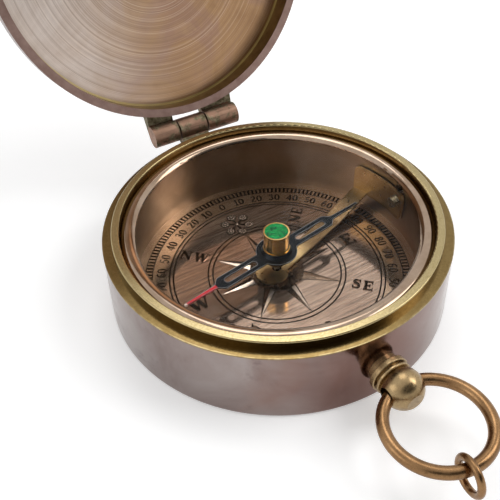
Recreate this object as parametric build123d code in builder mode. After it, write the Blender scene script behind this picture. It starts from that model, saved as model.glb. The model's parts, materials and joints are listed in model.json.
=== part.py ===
"""Pocket compass with a hinged lid, a needle lock and a bow ring.

Millimetres. The base rests on Z = 0, +Y points at the hinge and the pendant is opposite, near -Y.
Every piece stands in the pose of the photograph: lid open, red needle tip to the west.
Bearings are compass bearings in degrees: 0 is +Y, 90 is +X.
"""
import os
from math import asin, cos, degrees, radians, sin, sqrt

from build123d import *

os.makedirs("parts", exist_ok=True)

# Cuts run this far past the faces they go through
overrun = 2.0

# Case: a turned cup with a shoulder for the lid and a ridge round the glass
case_d = 50.0
case_h = 11.7
foot_flare = 0.5
foot_h = 0.8
base_t = 0.8
shoulder_w = 1.43
ridge_t = 1.13
ridge_h = 1.33
base_edge_r = 0.6
shoulder_edge_r = 0.15
ridge_edge_r = 0.18

# Dial, spacer sleeve, glass and the half-round ring that holds the glass down
dial_t = 0.4
dial_gap = 0.12
boss_r = 4.2
boss_h = 0.15
boss_rim_w = 0.45
boss_rim_h = 0.06
sleeve_t = 0.6
sleeve_gap = 0.03
glass_t = 0.8
glass_gap = 0.15
glass_depth = 2.28
ring_w = 2.06
ring_gap = 0.03
ring_edge_h = 0.16
ring_crown_h = 0.66

# Pivot, needle and cap; the shares are of the hollow between dial and glass, and of its radius
pivot_r = 0.5
pivot_point_h = 1.4
needle_bearing = 259.6
needle_share = 0.429
needle_t = 0.24
needle_reach_share = 0.775
needle_arm_w = 2.45
needle_arm_l = 10.4
needle_neck_l = 1.0
needle_neck_r = 0.7
needle_tip_w = 0.62
needle_point_w = 0.36
hub_r = 3.1
slot_w = 1.1
slot_start = 3.9
slot_end_web = 0.6
collar_r = 2.35
collar_h = 0.5
bush_r = 1.8
bush_foot_r = 1.55
bush_foot_h = 1.2
cap_r = 1.95
cap_share = 0.335
cap_edge_h = 0.18
cap_edge_out = 0.06
cap_step = 0.9
cap_bore_r = 1.0
cap_roof_t = 0.85
inlay_r = 1.74
inlay_t = 0.25
inlay_sink = 0.05
jewel_h = 1.0
jewel_cup_r = 0.4
jewel_cup_h = 0.45
jewel_gap = 0.04

# Needle lock: a bent lifter, its stud through the wall and the knob outside; heights are shares of the hollow
lock_bearing = 84.0
lock_lift_share = 0.157
lock_touch = 0.05
lift_gap = 0.15
lift_t = 0.3
lift_disc_r = 2.5
lift_disc_back = 1.1
lift_hole_gap = 0.25
arm_bearing = 71.6
arm_w = 2.7
arm_flat_l = 2.5
arm_bend_l = 14.0
arm_rise_share = 0.32
arm_overlap = 0.16
plate_t = 0.45
plate_gap = 0.25
plate_low_share = 0.283
plate_h_share = 0.492
plate_north = 6.0
plate_south = 4.9
plate_corner_r = 0.8
stud_r = 0.95
stud_fit = 0.01
stud_south = 3.2
stud_share = 0.60
stud_tail = 1.0
slot_gap = 0.15
knob_r = 2.1
knob_t = 1.4
knob_edge_r = 0.25
knob_gap = 0.2
washer_r = 1.75
washer_t = 0.2

# Lid: a shallow cap that closes over the ridge
lid_open = 107.9
lid_seat_gap = 0.05
lid_h = 4.7
lid_recess_d = 3.5
lid_ridge_gap = 0.15
lid_edge_r = 1.3
lid_floor_r = 0.35
lid_rim_r = 0.12

# Hinge: two knuckles on the lid, one on the case
hinge_out = 2.48
hinge_up = 0.78
hinge_l = 15.2
knuckle_r = 1.75
case_knuckle_l = 4.7
case_knuckle_west = 0.65
knuckle_gap = 0.28
pin_r = 0.6
pin_run_gap = 0.05
solder_gap = 0.02
lid_lug_front = 0.3
lid_lug_back = 2.7
lid_lug_sink = 1.6
lid_lug_start = 60.0
lid_lug_turn = 98.0
case_lug_low = 3.2
case_lug_high = 0.8
case_lug_sink = 0.5
case_lug_start = 205.0
case_lug_turn = 95.0

# Pendant: stem, turned collar and drilled ball; the share is of the case's height
pendant_share = 0.472
pendant_turn = 2.0
stem_r = 0.9
stem_fit = 0.01
stem_socket = 0.15
neck_r = 2.2
neck_l = 0.82
flange_r = 2.75
flange_l = 0.8
groove_r = 2.12
groove_l = 0.3
lip_r = 2.6
lip_l = 0.42
flange_edge_r = 0.14
ball_r = 2.77
ball_sink = 1.16
ball_facet = 0.3
ball_hole_r = 1.25

# Bow ring and the jump ring that hangs on it
bow_r = 6.47
bow_wire_r = 0.83
bow_shift = 0.14
bow_inset = 0.25
bow_lift = 0.1
bow_tilt = 2.0
jump_r = 2.2
jump_wire_r = 0.48
jump_gap = 0.1
jump_turn = -11.0
jump_droop = 54.6

# Heights and radii that follow from the sizes above
case_r = case_d / 2
foot_r = case_r + foot_flare
ridge_r = case_r - shoulder_w
bore_r = ridge_r - ridge_t
case_top = case_h + ridge_h
dial_top = base_t + dial_t
glass_z = case_top - glass_depth
ring_z = glass_z + glass_t
sleeve_r = bore_r - sleeve_gap
sleeve_in_r = sleeve_r - sleeve_t
hollow_h = glass_z - dial_top
boss_top = dial_top + boss_h + boss_rim_h
lift_z = boss_top + lift_gap
lock_lift = lock_lift_share * hollow_h
bush_z = lift_z + lift_t + lock_lift + lock_touch
needle_z = dial_top + needle_share * hollow_h
needle_reach = needle_reach_share * sleeve_in_r
cap_z = needle_z + cap_step
cap_top = cap_z + cap_share * hollow_h
inlay_z = cap_top - inlay_sink - inlay_t
cap_roof = inlay_z - cap_roof_t
jewel_z = cap_roof - jewel_h
pivot_top = jewel_z + jewel_cup_h - jewel_gap
plate_out_r = sleeve_in_r - plate_gap
plate_in_r = plate_out_r - plate_t
plate_mid_r = plate_out_r - plate_t / 2
plate_low = dial_top + plate_low_share * hollow_h
plate_h = plate_h_share * hollow_h
stud_z = dial_top + stud_share * hollow_h
pendant_z = pendant_share * case_h
hinge_y = case_r + hinge_out
hinge_z = case_h + hinge_up
rim_z = case_h + lid_seat_gap
lid_recess_r = ridge_r + lid_ridge_gap


def toward(bearing):
    """Level direction of a compass bearing."""
    return Vector(sin(radians(bearing)), cos(radians(bearing)), 0)


def wall_r(height):
    """Radius of the case's sloping outside at a height."""
    return case_r + foot_flare * (case_h - height) / (case_h - foot_h)


pendant_out = toward(180 - pendant_turn)
pendant_right = toward(90 - pendant_turn)
pendant_at = Vector(0, 0, pendant_z)


# Case body: cup profile turned about Z, then drilled for the stem and slotted for the stud
lock_out = toward(lock_bearing)
lock_left = toward(lock_bearing - 90)
lock_frame = Plane((0, 0, stud_z), x_dir=lock_left, z_dir=lock_out)
slot_wide = 2 * (stud_r + slot_gap)
with BuildPart() as case_body:
    with BuildSketch(Plane.XZ) as cup:
        with BuildLine():
            Polyline(
                (0, 0),
                (foot_r, 0),
                (foot_r, foot_h),
                (case_r, case_h),
                (ridge_r, case_h),
                (ridge_r, case_top),
                (bore_r, case_top),
                (bore_r, base_t),
                (0, base_t),
                close=True,
            )
        make_face()
        rims = cup.vertices().group_by(Axis.X)
        fillet(rims[-1].sort_by(Axis.Y)[0], base_edge_r)
        fillet(rims[-2], shoulder_edge_r)
        fillet(cup.vertices().group_by(Axis.Y)[-1], ridge_edge_r)
    revolve(axis=Axis.Z)
    with BuildSketch(Plane(pendant_at, x_dir=pendant_right, z_dir=pendant_out)):
        Circle(stem_r + stem_fit)
    extrude(amount=foot_r + overrun, mode=Mode.SUBTRACT)
    with BuildSketch(lock_frame):
        with Locations((-stud_south, lock_lift / 2)):
            SlotCenterToCenter(lock_lift, slot_wide, rotation=90)
    extrude(amount=foot_r + overrun, mode=Mode.SUBTRACT)
case_body.part.label = "case_body"
export_step(case_body.part, "parts/case_body.step")

# Outside of the case with a solder gap, to cut the seats of the pieces that stand on its wall
with BuildPart() as case_outside:
    with BuildSketch(Plane.XZ):
        with BuildLine():
            Polyline(
                (0, 0),
                (foot_r + solder_gap, 0),
                (foot_r + solder_gap, foot_h),
                (case_r + solder_gap, case_h),
                (case_r + solder_gap, case_top + overrun),
                (0, case_top + overrun),
                close=True,
            )
        make_face()
    revolve(axis=Axis.Z)

# Spacer sleeve: the polished inner wall that keeps the dial down and the glass up
with BuildPart() as sleeve:
    with BuildSketch(Plane.XY.offset(dial_top)):
        Circle(sleeve_r)
        Circle(sleeve_in_r, mode=Mode.SUBTRACT)
    extrude(amount=glass_z - dial_top)
    with BuildSketch(lock_frame):
        with Locations((-stud_south, lock_lift / 2)):
            SlotCenterToCenter(lock_lift, slot_wide, rotation=90)
    extrude(amount=case_r, mode=Mode.SUBTRACT)
sleeve.part.label = "sleeve"
export_step(sleeve.part, "parts/sleeve.step")

# Dial plate, bored for the pivot
with BuildPart() as dial:
    with BuildSketch(Plane.XY.offset(base_t)):
        Circle(bore_r - dial_gap)
        Circle(pivot_r, mode=Mode.SUBTRACT)
    extrude(amount=dial_t)
dial.part.label = "dial"
export_step(dial.part, "parts/dial.step")

# Boss in the middle of the rose, with its raised rim
with BuildPart() as dial_boss:
    with BuildSketch(Plane.XY.offset(dial_top)):
        Circle(boss_r)
        Circle(pivot_r, mode=Mode.SUBTRACT)
    extrude(amount=boss_h)
    with BuildSketch(Plane.XY.offset(dial_top + boss_h)):
        Circle(boss_r)
        Circle(boss_r - boss_rim_w, mode=Mode.SUBTRACT)
    extrude(amount=boss_rim_h)
dial_boss.part.label = "dial_boss"
export_step(dial_boss.part, "parts/dial_boss.step")

# Pivot: a straight pin ground to a point
with BuildPart() as pivot:
    with BuildSketch(Plane.XZ):
        with BuildLine():
            Polyline(
                (0, base_t),
                (pivot_r, base_t),
                (pivot_r, pivot_top - pivot_point_h),
                (0, pivot_top),
                close=True,
            )
        make_face()
    revolve(axis=Axis.Z)
pivot.part.label = "pivot"
export_step(pivot.part, "parts/pivot.step")

# Flat glass
with BuildPart() as glass:
    with BuildSketch(Plane.XY.offset(glass_z)):
        Circle(bore_r - glass_gap)
    extrude(amount=glass_t)
glass.part.label = "glass"
export_step(glass.part, "parts/glass.step")

# Half-round retaining ring, screwed in over the glass
ring_out_r = bore_r - ring_gap
ring_in_r = ring_out_r - ring_w
with BuildPart() as retaining_ring:
    with BuildSketch(Plane.XZ):
        with BuildLine():
            Polyline(
                (ring_in_r, ring_z + ring_edge_h),
                (ring_in_r, ring_z),
                (ring_out_r, ring_z),
                (ring_out_r, ring_z + ring_edge_h),
            )
            ThreePointArc(
                (ring_out_r, ring_z + ring_edge_h),
                (ring_out_r - ring_w / 2, ring_z + ring_crown_h),
                (ring_in_r, ring_z + ring_edge_h),
            )
        make_face()
    revolve(axis=Axis.Z)
retaining_ring.part.label = "retaining_ring"
export_step(retaining_ring.part, "parts/retaining_ring.step")

# Needle: a slotted steel blade with a ring hub and two slim tips
needle_frame = Plane((0, 0, needle_z), x_dir=toward(needle_bearing), z_dir=(0, 0, 1))
arm_end = needle_arm_l
slot_l = needle_arm_l - slot_start - slot_end_web
neck_end = needle_arm_l + needle_neck_l
tip_end = needle_reach
with BuildPart() as needle:
    with BuildSketch(needle_frame) as blade:
        with BuildLine():
            Polyline(
                (0, needle_arm_w / 2),
                (arm_end, needle_arm_w / 2),
                (neck_end, needle_tip_w / 2),
                (tip_end, needle_point_w / 2),
                (tip_end, -needle_point_w / 2),
                (neck_end, -needle_tip_w / 2),
                (arm_end, -needle_arm_w / 2),
                (0, -needle_arm_w / 2),
                close=True,
            )
        make_face()
        necks = [v for v in blade.vertices() if abs(v.X - neck_end) < needle_neck_l / 2]
        fillet(necks, needle_neck_r)
        mirror(about=Plane.YZ)
        Circle(hub_r)
        with Locations((slot_start + slot_l / 2, 0), (-slot_start - slot_l / 2, 0)):
            SlotOverall(slot_l, slot_w, mode=Mode.SUBTRACT)
        Circle(bush_r, mode=Mode.SUBTRACT)
    extrude(amount=needle_t)
needle.part.label = "needle"
export_step(needle.part, "parts/needle.step")

# Conical steel collar that stiffens the hub
with BuildPart() as needle_collar:
    with BuildSketch(Plane.XZ):
        with BuildLine():
            Polyline(
                (bush_r, needle_z + needle_t),
                (collar_r, needle_z + needle_t),
                (cap_r, needle_z + needle_t + collar_h),
                (bush_r, needle_z + needle_t + collar_h),
                close=True,
            )
        make_face()
    revolve(axis=Axis.Z)
needle_collar.part.label = "needle_collar"
export_step(needle_collar.part, "parts/needle_collar.step")

# Bush pressed through the hub: its foot is what the lifter catches
with BuildPart() as needle_bush:
    with BuildSketch(Plane.XZ):
        with BuildLine():
            Polyline(
                (cap_bore_r, bush_z),
                (bush_foot_r, bush_z),
                (bush_r, bush_z + bush_foot_h),
                (bush_r, cap_z),
                (cap_bore_r, cap_z),
                close=True,
            )
        make_face()
    revolve(axis=Axis.Z)
needle_bush.part.label = "needle_bush"
export_step(needle_bush.part, "parts/needle_bush.step")

# Cap: a brass drum with a bead at its foot, bored from below and sunk for the inlay
with BuildPart() as cap:
    with BuildSketch(Plane.XZ):
        with BuildLine():
            Polyline(
                (cap_bore_r, cap_z),
                (cap_r + cap_edge_out, cap_z),
                (cap_r + cap_edge_out, cap_z + cap_edge_h),
                (cap_r, cap_z + cap_edge_h),
                (cap_r, cap_top),
                (inlay_r, cap_top),
                (inlay_r, inlay_z),
                (0, inlay_z),
                (0, cap_roof),
                (cap_bore_r, cap_roof),
                close=True,
            )
        make_face()
    revolve(axis=Axis.Z)
cap.part.label = "cap"
export_step(cap.part, "parts/cap.step")

# Green inlay in the top of the cap
with BuildPart() as cap_inlay:
    with BuildSketch(Plane.XY.offset(inlay_z)):
        Circle(inlay_r)
    extrude(amount=inlay_t)
cap_inlay.part.label = "cap_inlay"
export_step(cap_inlay.part, "parts/cap_inlay.step")

# Jewel: the cup that runs on the pivot's point
with BuildPart() as jewel:
    with BuildSketch(Plane.XZ):
        with BuildLine():
            Polyline(
                (jewel_cup_r, jewel_z),
                (cap_bore_r, jewel_z),
                (cap_bore_r, cap_roof),
                (0, cap_roof),
                (0, jewel_z + jewel_cup_h),
                close=True,
            )
        make_face()
    revolve(axis=Axis.Z)
jewel.part.label = "jewel"
export_step(jewel.part, "parts/jewel.step")

# Lifter: side profile of the bent strip, trimmed to the plan of its disc and arm, with the upright plate
arm_out = toward(arm_bearing)
arm_side = Plane((0, 0, 0), x_dir=arm_out, z_dir=toward(arm_bearing + 90))
arm_plan = Plane((0, 0, 0), x_dir=arm_out, z_dir=(0, 0, 1))
arm_end_l = plate_mid_r
arm_low = lift_z
arm_high = plate_low + arm_overlap
arm_mid = lift_z + arm_rise_share * (arm_high - lift_z)
plate_turn_north = degrees(asin(plate_north / plate_out_r))
plate_turn_south = degrees(asin(plate_south / plate_out_r))
with BuildPart() as lock_plate:
    with BuildSketch(Plane((0, 0, plate_low), x_dir=lock_out, z_dir=(0, 0, 1))):
        with BuildLine():
            outside = CenterArc((0, 0), plate_out_r, -plate_turn_south, plate_turn_south + plate_turn_north)
            inside = CenterArc((0, 0), plate_in_r, -plate_turn_south, plate_turn_south + plate_turn_north)
            Line(outside @ 0, inside @ 0)
            Line(outside @ 1, inside @ 1)
        make_face()
    extrude(amount=plate_h)
    corners = lock_plate.edges().filter_by(GeomType.LINE).filter_by(lambda e: abs(e.length - plate_t) < stud_fit)
    fillet(corners, plate_corner_r)
    with BuildSketch(lock_frame):
        with Locations((-stud_south, 0)):
            Circle(stud_r + stud_fit)
    extrude(amount=case_r, mode=Mode.SUBTRACT)
with BuildPart() as lifter:
    with BuildSketch(arm_side):
        with BuildLine():
            Polyline(
                (-lift_disc_back - lift_disc_r, arm_low),
                (arm_flat_l, arm_low),
                (arm_bend_l, arm_mid),
                (arm_end_l, arm_high),
                (arm_end_l, arm_high + lift_t),
                (arm_bend_l, arm_mid + lift_t),
                (arm_flat_l, arm_low + lift_t),
                (-lift_disc_back - lift_disc_r, arm_low + lift_t),
                close=True,
            )
        make_face()
    extrude(amount=lift_disc_r, both=True)
    with BuildSketch(arm_plan):
        with Locations((-lift_disc_back, 0)):
            Circle(lift_disc_r)
        with BuildLine():
            Polyline(
                (-lift_disc_back, arm_w / 2),
                (arm_end_l, arm_w / 2),
                (arm_end_l, -arm_w / 2),
                (-lift_disc_back, -arm_w / 2),
                close=True,
            )
        make_face()
        Circle(pivot_r + lift_hole_gap, mode=Mode.SUBTRACT)
    extrude(amount=case_h, mode=Mode.INTERSECT)
    add(lock_plate.part)
lifter.part.label = "lifter"
export_step(lifter.part, "parts/lifter.step")

# Stud: from inside the plate, through the slot in the wall, into the knob
knob_face = wall_r(stud_z - knob_r) + knob_gap
stud_start = sqrt(plate_in_r**2 - stud_south**2) - stud_tail
with BuildPart() as lock_stud:
    with BuildSketch(lock_frame.offset(stud_start)):
        with Locations((-stud_south, 0)):
            Circle(stud_r)
    extrude(amount=knob_face + washer_t + knob_t - stud_start)
lock_stud.part.label = "lock_stud"
export_step(lock_stud.part, "parts/lock_stud.step")

# Friction washer under the knob
with BuildPart() as lock_washer:
    with BuildSketch(lock_frame.offset(knob_face)):
        with Locations((-stud_south, 0)):
            Circle(washer_r)
            Circle(stud_r + stud_fit, mode=Mode.SUBTRACT)
    extrude(amount=washer_t)
lock_washer.part.label = "lock_washer"
export_step(lock_washer.part, "parts/lock_washer.step")

# Knob outside the wall
with BuildPart() as lock_knob:
    with BuildSketch(lock_frame.offset(knob_face + washer_t)):
        with Locations((-stud_south, 0)):
            Circle(knob_r)
            Circle(stud_r + stud_fit, mode=Mode.SUBTRACT)
    extrude(amount=knob_t)
    outer_rims = lock_knob.edges().filter_by(GeomType.CIRCLE).sort_by(SortBy.RADIUS)[-2:]
    fillet(outer_rims, knob_edge_r)
lock_knob.part.label = "lock_knob"
export_step(lock_knob.part, "parts/lock_knob.step")

# Lid: turned in its own frame, which the opening angle swings about the hinge
lid_up = Vector(0, sin(radians(lid_open)), cos(radians(lid_open)))
lid_frame = Plane((0, hinge_y, hinge_z), x_dir=(1, 0, 0), z_dir=lid_up)
lid_centre = lid_frame.from_local_coords(Vector(0, -hinge_y, rim_z - hinge_z))
lid_section = Plane(lid_centre, x_dir=(1, 0, 0), z_dir=lid_frame.y_dir * -1)
with BuildPart() as lid:
    with BuildSketch(lid_section) as cap_wall:
        with BuildLine():
            Polyline(
                (lid_recess_r, 0),
                (case_r, 0),
                (case_r, lid_h),
                (0, lid_h),
                (0, lid_recess_d),
                (lid_recess_r, lid_recess_d),
                close=True,
            )
        make_face()
        outer = cap_wall.vertices().group_by(Axis.X)[-1].sort_by(Axis.Y)
        inner = cap_wall.vertices().group_by(Axis.X)[1].sort_by(Axis.Y)
        fillet(outer[-1], lid_edge_r)
        fillet(inner[-1], lid_floor_r)
        fillet([outer[0], inner[0]], lid_rim_r)
    revolve(axis=Axis(lid_centre, lid_up))
lid.part.label = "lid"
export_step(lid.part, "parts/lid.step")

# Lid knuckles: barrels with lugs soldered to the lid's wall, either side of the case's knuckle
knuckle_west = -case_knuckle_west - case_knuckle_l / 2
knuckle_east = knuckle_west + case_knuckle_l
left_l = hinge_l / 2 + knuckle_west - knuckle_gap
right_l = hinge_l / 2 - knuckle_east - knuckle_gap
lid_wall_gap = case_r + solder_gap
lid_plan = Plane(lid_centre, x_dir=(1, 0, 0), z_dir=lid_up)


def lid_lug_plane(start):
    """Section plane across the hinge on the lid's side, from a place along the pin."""
    return Plane((start, hinge_y, hinge_z), x_dir=lid_frame.y_dir, z_dir=(1, 0, 0))


with BuildPart() as lid_knuckle_left:
    with BuildSketch(lid_lug_plane(-hinge_l / 2)):
        with BuildLine():
            CenterArc((0, 0), knuckle_r, lid_lug_start, lid_lug_turn)
            Line((-hinge_out - lid_lug_sink, lid_lug_front), (-hinge_out - lid_lug_sink, lid_lug_back))
        make_hull()
        Circle(knuckle_r)
        Circle(pin_r, mode=Mode.SUBTRACT)
    extrude(amount=left_l)
    with BuildSketch(lid_plan):
        Circle(lid_wall_gap)
    extrude(amount=lid_h + overrun, both=True, mode=Mode.SUBTRACT)
lid_knuckle_left.part.label = "lid_knuckle_left"
export_step(lid_knuckle_left.part, "parts/lid_knuckle_left.step")

with BuildPart() as lid_knuckle_right:
    with BuildSketch(lid_lug_plane(hinge_l / 2 - right_l)):
        with BuildLine():
            CenterArc((0, 0), knuckle_r, lid_lug_start, lid_lug_turn)
            Line((-hinge_out - lid_lug_sink, lid_lug_front), (-hinge_out - lid_lug_sink, lid_lug_back))
        make_hull()
        Circle(knuckle_r)
        Circle(pin_r, mode=Mode.SUBTRACT)
    extrude(amount=right_l)
    with BuildSketch(lid_plan):
        Circle(lid_wall_gap)
    extrude(amount=lid_h + overrun, both=True, mode=Mode.SUBTRACT)
lid_knuckle_right.part.label = "lid_knuckle_right"
export_step(lid_knuckle_right.part, "parts/lid_knuckle_right.step")

# Case knuckle: the middle barrel, with its lug on the case wall
with BuildPart() as case_knuckle:
    with BuildSketch(Plane((knuckle_west, hinge_y, hinge_z), x_dir=(0, 1, 0), z_dir=(1, 0, 0))):
        with BuildLine():
            CenterArc((0, 0), knuckle_r, case_lug_start, case_lug_turn)
            Line(
                (-hinge_out - case_lug_sink, -hinge_up - case_lug_low),
                (-hinge_out - case_lug_sink, -hinge_up - case_lug_high),
            )
        make_hull()
        Circle(knuckle_r)
        Circle(pin_r + pin_run_gap, mode=Mode.SUBTRACT)
    extrude(amount=case_knuckle_l)
    add(case_outside.part, mode=Mode.SUBTRACT)
case_knuckle.part.label = "case_knuckle"
export_step(case_knuckle.part, "parts/case_knuckle.step")

# Hinge pin, tight in the lid's knuckles and free in the case's
with BuildPart() as hinge_pin:
    with BuildSketch(Plane((-hinge_l / 2, hinge_y, hinge_z), x_dir=(0, 1, 0), z_dir=(1, 0, 0))):
        Circle(pin_r)
    extrude(amount=hinge_l)
hinge_pin.part.label = "hinge_pin"
export_step(hinge_pin.part, "parts/hinge_pin.step")

# Pendant collar: a neck, two flanges and a groove, hollowed to sit on the round case
pendant_plan = Plane(pendant_at, x_dir=pendant_right, z_dir=(0, 0, 1))
pendant_axis = Axis(pendant_at, pendant_out)
neck_y = wall_r(pendant_z) + neck_l
flange_y = neck_y + flange_l
groove_y = flange_y + groove_l
lip_y = groove_y + lip_l
with BuildPart() as pendant_collar:
    with BuildSketch(pendant_plan) as turned:
        with BuildLine():
            Polyline(
                (stem_r + stem_fit, -bore_r),
                (neck_r, -bore_r),
                (neck_r, -neck_y),
                (flange_r, -neck_y),
                (flange_r, -flange_y),
                (groove_r, -flange_y),
                (groove_r, -groove_y),
                (lip_r, -groove_y),
                (lip_r, -lip_y),
                (stem_r + stem_fit, -lip_y),
                close=True,
            )
        make_face()
        rows = turned.vertices().group_by(Axis.Y)[:-1]
        fillet([row.sort_by(Axis.X)[-1] for row in rows], flange_edge_r)
    revolve(axis=pendant_axis)
    add(case_outside.part, mode=Mode.SUBTRACT)
pendant_collar.part.label = "pendant_collar"
export_step(pendant_collar.part, "parts/pendant_collar.step")

# Pendant ball: flat where it meets the collar, flat at its end, drilled across for the bow
ball_y = lip_y + ball_r - ball_sink
ball_at = pendant_at + pendant_out * ball_y
ball_end_y = ball_y + ball_r - ball_facet
back_r = sqrt(ball_r**2 - (ball_y - lip_y) ** 2)
end_r = sqrt(ball_r**2 - (ball_end_y - ball_y) ** 2)
with BuildPart() as pendant_ball:
    with BuildSketch(pendant_plan):
        with BuildLine():
            Polyline(
                (back_r, -lip_y),
                (stem_r + stem_fit, -lip_y),
                (stem_r + stem_fit, -lip_y - stem_socket),
                (0, -lip_y - stem_socket),
                (0, -ball_end_y),
                (end_r, -ball_end_y),
            )
            ThreePointArc((end_r, -ball_end_y), (ball_r, -ball_y), (back_r, -lip_y))
        make_face()
    revolve(axis=pendant_axis)
    with BuildSketch(Plane(ball_at, x_dir=pendant_out, z_dir=pendant_right)):
        Circle(ball_hole_r)
    extrude(amount=ball_r + overrun, both=True, mode=Mode.SUBTRACT)
pendant_ball.part.label = "pendant_ball"
export_step(pendant_ball.part, "parts/pendant_ball.step")

# Stem through the case wall and the collar, into the ball's socket
with BuildPart() as pendant_stem:
    with BuildSketch(Plane(pendant_at + pendant_out * bore_r, x_dir=pendant_right, z_dir=pendant_out)):
        Circle(stem_r)
    extrude(amount=lip_y + stem_socket - bore_r)
pendant_stem.part.label = "pendant_stem"
export_step(pendant_stem.part, "parts/pendant_stem.step")

# Bow ring, all but level as in the photograph
bow_out = pendant_out * cos(radians(bow_tilt)) + Vector(0, 0, sin(radians(bow_tilt)))
bow_up = bow_out.cross(pendant_right)
bow_at = ball_at + bow_out * (bow_r - bow_inset) + pendant_right * bow_shift + Vector(0, 0, bow_lift)
with BuildPart() as bow_ring:
    with Locations(Plane(bow_at, x_dir=pendant_right, z_dir=bow_up)):
        Torus(bow_r, bow_wire_r)
bow_ring.part.label = "bow_ring"
export_step(bow_ring.part, "parts/bow_ring.step")

# Jump ring, hung on the far side of the bow and drawn outward by its chain
jump_out = bow_out * cos(radians(jump_turn)) + pendant_right * sin(radians(jump_turn))
jump_at = bow_at + jump_out * bow_r
jump_reach = jump_r - bow_wire_r - jump_wire_r - jump_gap
jump_pull = jump_out * cos(radians(jump_droop)) - bow_up * sin(radians(jump_droop))
jump_tangent = pendant_right * cos(radians(jump_turn)) - bow_out * sin(radians(jump_turn))
with BuildPart() as jump_ring:
    with Locations(Plane(jump_at + jump_pull * jump_reach, z_dir=jump_tangent)):
        Torus(jump_r, jump_wire_r)
jump_ring.part.label = "jump_ring"
export_step(jump_ring.part, "parts/jump_ring.step")
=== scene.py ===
"""Looks of the pocket compass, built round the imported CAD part. Metres, in the CAD frame."""
import json
from math import cos, hypot, pi, radians, sin

import bmesh
import bpy
from mathutils import Matrix, Vector


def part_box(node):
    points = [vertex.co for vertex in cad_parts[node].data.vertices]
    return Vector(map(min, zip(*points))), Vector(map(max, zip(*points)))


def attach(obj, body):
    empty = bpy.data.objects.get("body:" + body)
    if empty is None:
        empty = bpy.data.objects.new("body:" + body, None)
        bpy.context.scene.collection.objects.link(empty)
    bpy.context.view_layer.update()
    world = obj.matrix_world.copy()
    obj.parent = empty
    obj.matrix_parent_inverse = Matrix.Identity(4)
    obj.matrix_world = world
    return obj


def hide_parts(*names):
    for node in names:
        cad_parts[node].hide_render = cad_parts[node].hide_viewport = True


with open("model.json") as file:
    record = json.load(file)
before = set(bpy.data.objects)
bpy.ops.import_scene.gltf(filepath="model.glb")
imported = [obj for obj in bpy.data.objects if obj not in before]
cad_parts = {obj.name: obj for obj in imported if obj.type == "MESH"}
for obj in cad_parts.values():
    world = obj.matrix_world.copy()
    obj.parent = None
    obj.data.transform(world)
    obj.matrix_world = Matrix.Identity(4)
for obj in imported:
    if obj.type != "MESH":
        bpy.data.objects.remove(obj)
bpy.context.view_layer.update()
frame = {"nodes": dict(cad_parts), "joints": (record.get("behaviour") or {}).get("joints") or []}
nodes = frame["nodes"]
joints = {joint["name"]: joint for joint in frame["joints"]}
scene = bpy.context.scene
MM = 0.001
TURN = 2 * pi
UP = Vector((0, 0, 1))


def corners(node):
    """Lowest and highest corner of a CAD node, in millimetres."""
    return [Vector(corner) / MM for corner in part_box(node)]


def toward(bearing, elevation=0.0):
    """Unit vector of a compass bearing, raised by an elevation, both in degrees."""
    level = Vector((sin(radians(bearing)), cos(radians(bearing)), 0))
    return level * cos(radians(elevation)) + UP * sin(radians(elevation))


# Places read from the CAD frame, in millimetres
dial_bottom, dial_corner = corners("dial")
stud_bottom, stud_corner = corners("lock_stud")
DIAL_LOW = dial_bottom.z
DIAL_TOP = dial_corner.z
DIAL_R = dial_corner.x
PIVOT_R = corners("pivot")[1].x
BOSS_TOP = corners("dial_boss")[1].z
STUD_Z = (stud_bottom.z + stud_corner.z) / 2
PENDANT_Z = joints["bow_swing"]["pos_m"][2] / MM
HINGE = Vector(joints["lid_hinge"]["pos_m"]) / MM
LID_OPEN = radians(-joints["lid_hinge"]["range_deg"][0])

# Sizes shared with the CAD part, in millimetres, and bearings in degrees
RIM_UNDER_HINGE = 0.73
STUD_SOUTH = 3.2
NEEDLE_BEARING = 259.6
LOCK_BEARING = 84.0
DIAL_NORTH = -1.3

# The open lid: its own up and back, and the middle of its rim
LID_UP = Vector((0, sin(LID_OPEN), cos(LID_OPEN)))
LID_BACK = Vector((0, cos(LID_OPEN), -sin(LID_OPEN)))
LID_CENTRE = HINGE - LID_BACK * HINGE.y - LID_UP * RIM_UNDER_HINGE


# Materials

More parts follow.
